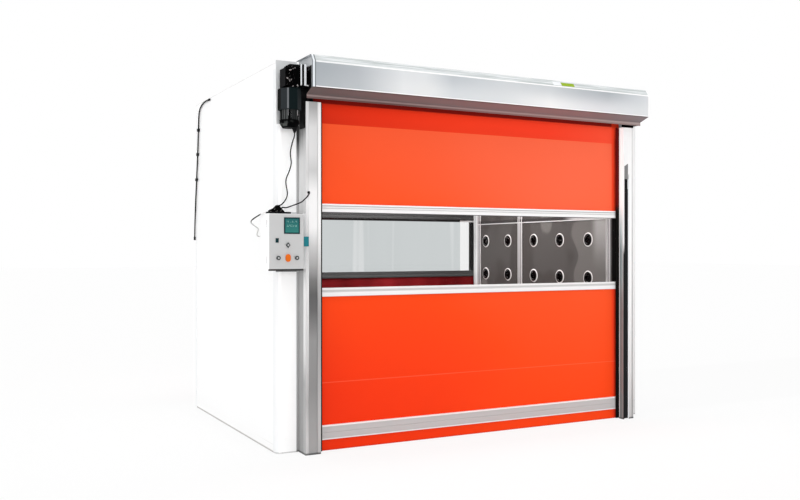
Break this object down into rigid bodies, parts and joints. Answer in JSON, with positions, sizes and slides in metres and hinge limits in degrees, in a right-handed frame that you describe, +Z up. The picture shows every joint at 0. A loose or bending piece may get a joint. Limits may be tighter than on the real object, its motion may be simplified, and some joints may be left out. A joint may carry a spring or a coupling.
{
  "type": "air shower",
  "caption": "Walk-through air shower for goods: white cabin with nozzle walls, side blowers, and a roll-up curtain door with window, hood and gear motor at each end; control box at the front.",
  "frame": {"origin": "on the floor at the middle of the cabin's footprint", "axes": "+X right seen from the front door, +Y to the rear door, +Z up"},
  "size_m": [3.1824, 2.528, 2.516],
  "materials": {
    "white_panel": "satin powder coat",
    "grey_hood": "satin powder coat",
    "frame_white": "satin powder coat",
    "column_alloy": "fine satin anodised",
    "rail_alloy": "dull anodised",
    "stainless": "fine brushed",
    "bright_steel": "zinc bright",
    "dark_metal": "satin dark paint",
    "black_metal": "semi-matt black",
    "orange_curtain": "coated cloth, slight sheen",
    "clear_sheet": "clear flexible sheet",
    "black_rubber": "matt",
    "brush_hair": "matt bristle",
    "box_paint": "fine textured light grey",
    "display_teal": "glossy dark teal",
    "orange_plastic": "glossy",
    "teal_plastic": "glossy",
    "black_plastic": "satin",
    "light_diffuser": "opal",
    "filter_media": "matt",
    "galvanised": "galvanised"
  },
  "bodies": {
    "cabin": {"base_frame": "stainless", "floor_plate": "stainless", "left_outer_panel": "white_panel", "right_outer_panel": "white_panel", "corner_posts": "white_panel", "roof_panel": "white_panel", "door_frames": "white_panel", "left_nozzle_wall": "stainless", "right_nozzle_wall": "stainless", "wall_posts": "bright_steel", "left_nozzles": "bright_steel", "right_nozzles": "bright_steel", "return_grilles": "stainless", "air_filters": "filter_media", "ceiling_panel": "white_panel", "ceiling_lights": "light_diffuser", "fan_housings": "galvanised", "front_left_column": "column_alloy", "front_right_column": "column_alloy", "front_hood": "grey_hood", "hood_end_plates": "grey_hood", "guide_brushes": "brush_hair", "light_curtain": "black_plastic", "motor_gearbox": "dark_metal", "motor_body": "dark_metal", "motor_bracket": "bright_steel", "mounting_plates": "frame_white", "front_upper_curtain": "orange_curtain", "rear_columns": "column_alloy", "rear_hood": "grey_hood", "rear_gearmotor": "dark_metal", "rear_upper_curtain": "orange_curtain", "control_box_shell": "box_paint", "cable_glands": "black_plastic", "door_sensor": "teal_plastic", "motor_cable": "black_rubber", "sensor_cable": "black_rubber", "wall_cable": "black_rubber", "supply_cable": "black_rubber"},
    "front_bottom_bar": {"front_bottom_rail": "rail_alloy", "front_bottom_hem": "orange_curtain"},
    "front_lower_bar": {"front_lower_rail": "rail_alloy", "front_lower_curtain": "orange_curtain"},
    "front_upper_bar": {"front_upper_rail": "rail_alloy", "front_window": "clear_sheet"},
    "front_roller": {"front_drum": "bright_steel"},
    "rear_bottom_bar": {"rear_bottom_rail": "rail_alloy"},
    "rear_lower_bar": {"rear_lower_rail": "rail_alloy", "rear_lower_curtain": "orange_curtain"},
    "rear_upper_bar": {"rear_upper_rail": "rail_alloy", "rear_window": "clear_sheet"},
    "rear_roller": {"rear_drum": "bright_steel"},
    "left_fan": {"left_fan_impeller": "galvanised"},
    "right_fan": {"right_fan_impeller": "galvanised"},
    "box_door": {"control_box_door": "box_paint", "control_display": "display_teal"},
    "open_key": {"open_button": "black_plastic"},
    "up_key": {"up_button": "black_plastic"},
    "stop_key": {"stop_button": "orange_plastic"},
    "down_key": {"down_button": "black_plastic"}
  },
  "joints": [
    {"name": "front_door_lift", "type": "slide", "parent": "cabin", "child": "front_bottom_bar", "axis": [0, 0, 1], "range_m": [0, 2.067], "deforming": ["front_lower_curtain"]},
    {"name": "front_lower_rail_lift", "type": "slide", "parent": "cabin", "child": "front_lower_bar", "axis": [0, 0, 1], "range_m": [0, 1.2385], "deforming": ["front_window"]},
    {"name": "front_upper_rail_lift", "type": "slide", "parent": "cabin", "child": "front_upper_bar", "axis": [0, 0, 1], "range_m": [0, 0.7515], "deforming": ["front_upper_curtain"]},
    {"name": "front_roller_turn", "type": "hinge", "parent": "cabin", "child": "front_roller", "pos_m": [0, -1.096, 2.395], "axis": [1, 0, 0], "range_deg": [0, 2070]},
    {"name": "rear_door_lift", "type": "slide", "parent": "cabin", "child": "rear_bottom_bar", "axis": [0, 0, 1], "range_m": [0, 2.067], "deforming": ["rear_lower_curtain"]},
    {"name": "rear_lower_rail_lift", "type": "slide", "parent": "cabin", "child": "rear_lower_bar", "axis": [0, 0, 1], "range_m": [0, 1.1935], "deforming": ["rear_window"]},
    {"name": "rear_upper_rail_lift", "type": "slide", "parent": "cabin", "child": "rear_upper_bar", "axis": [0, 0, 1], "range_m": [0, 0.7065], "deforming": ["rear_upper_curtain"]},
    {"name": "rear_roller_turn", "type": "hinge", "parent": "cabin", "child": "rear_roller", "pos_m": [0, 1.096, 2.395], "axis": [-1, 0, 0], "range_deg": [0, 2070]},
    {"name": "left_fan_spin", "type": "hinge", "parent": "cabin", "child": "left_fan", "pos_m": [-1.35, 0, 0.255], "axis": [-1, 0, 0], "continuous": true},
    {"name": "right_fan_spin", "type": "hinge", "parent": "cabin", "child": "right_fan", "pos_m": [1.35, 0, 0.255], "axis": [1, 0, 0], "continuous": true},
    {"name": "control_box_door_swing", "type": "hinge", "parent": "cabin", "child": "box_door", "pos_m": [-1.6164, -1.11, 1.354], "axis": [0, 0, -1], "range_deg": [0, 110]},
    {"name": "open_button_press", "type": "slide", "parent": "box_door", "child": "open_key", "axis": [0, 1, 0], "range_m": [0, 0.003], "stiffness_N_per_m": 500},
    {"name": "up_button_press", "type": "slide", "parent": "box_door", "child": "up_key", "axis": [0, 1, 0], "range_m": [0, 0.003], "stiffness_N_per_m": 500},
    {"name": "stop_button_press", "type": "slide", "parent": "box_door", "child": "stop_key", "axis": [0, 1, 0], "range_m": [0, 0.003], "stiffness_N_per_m": 500},
    {"name": "down_button_press", "type": "slide", "parent": "box_door", "child": "down_key", "axis": [0, 1, 0], "range_m": [0, 0.003], "stiffness_N_per_m": 500}
  ],
  "couplings": [
    {"joint": "front_lower_rail_lift", "follows": "front_door_lift", "ratio": 0.59894},
    {"joint": "front_upper_rail_lift", "follows": "front_door_lift", "ratio": 0.36333},
    {"joint": "front_roller_turn", "follows": "front_door_lift", "rad_per_m": 17.4},
    {"joint": "rear_lower_rail_lift", "follows": "rear_door_lift", "ratio": 0.57717},
    {"joint": "rear_upper_rail_lift", "follows": "rear_door_lift", "ratio": 0.34156},
    {"joint": "rear_roller_turn", "follows": "rear_door_lift", "rad_per_m": 17.4}
  ]
}
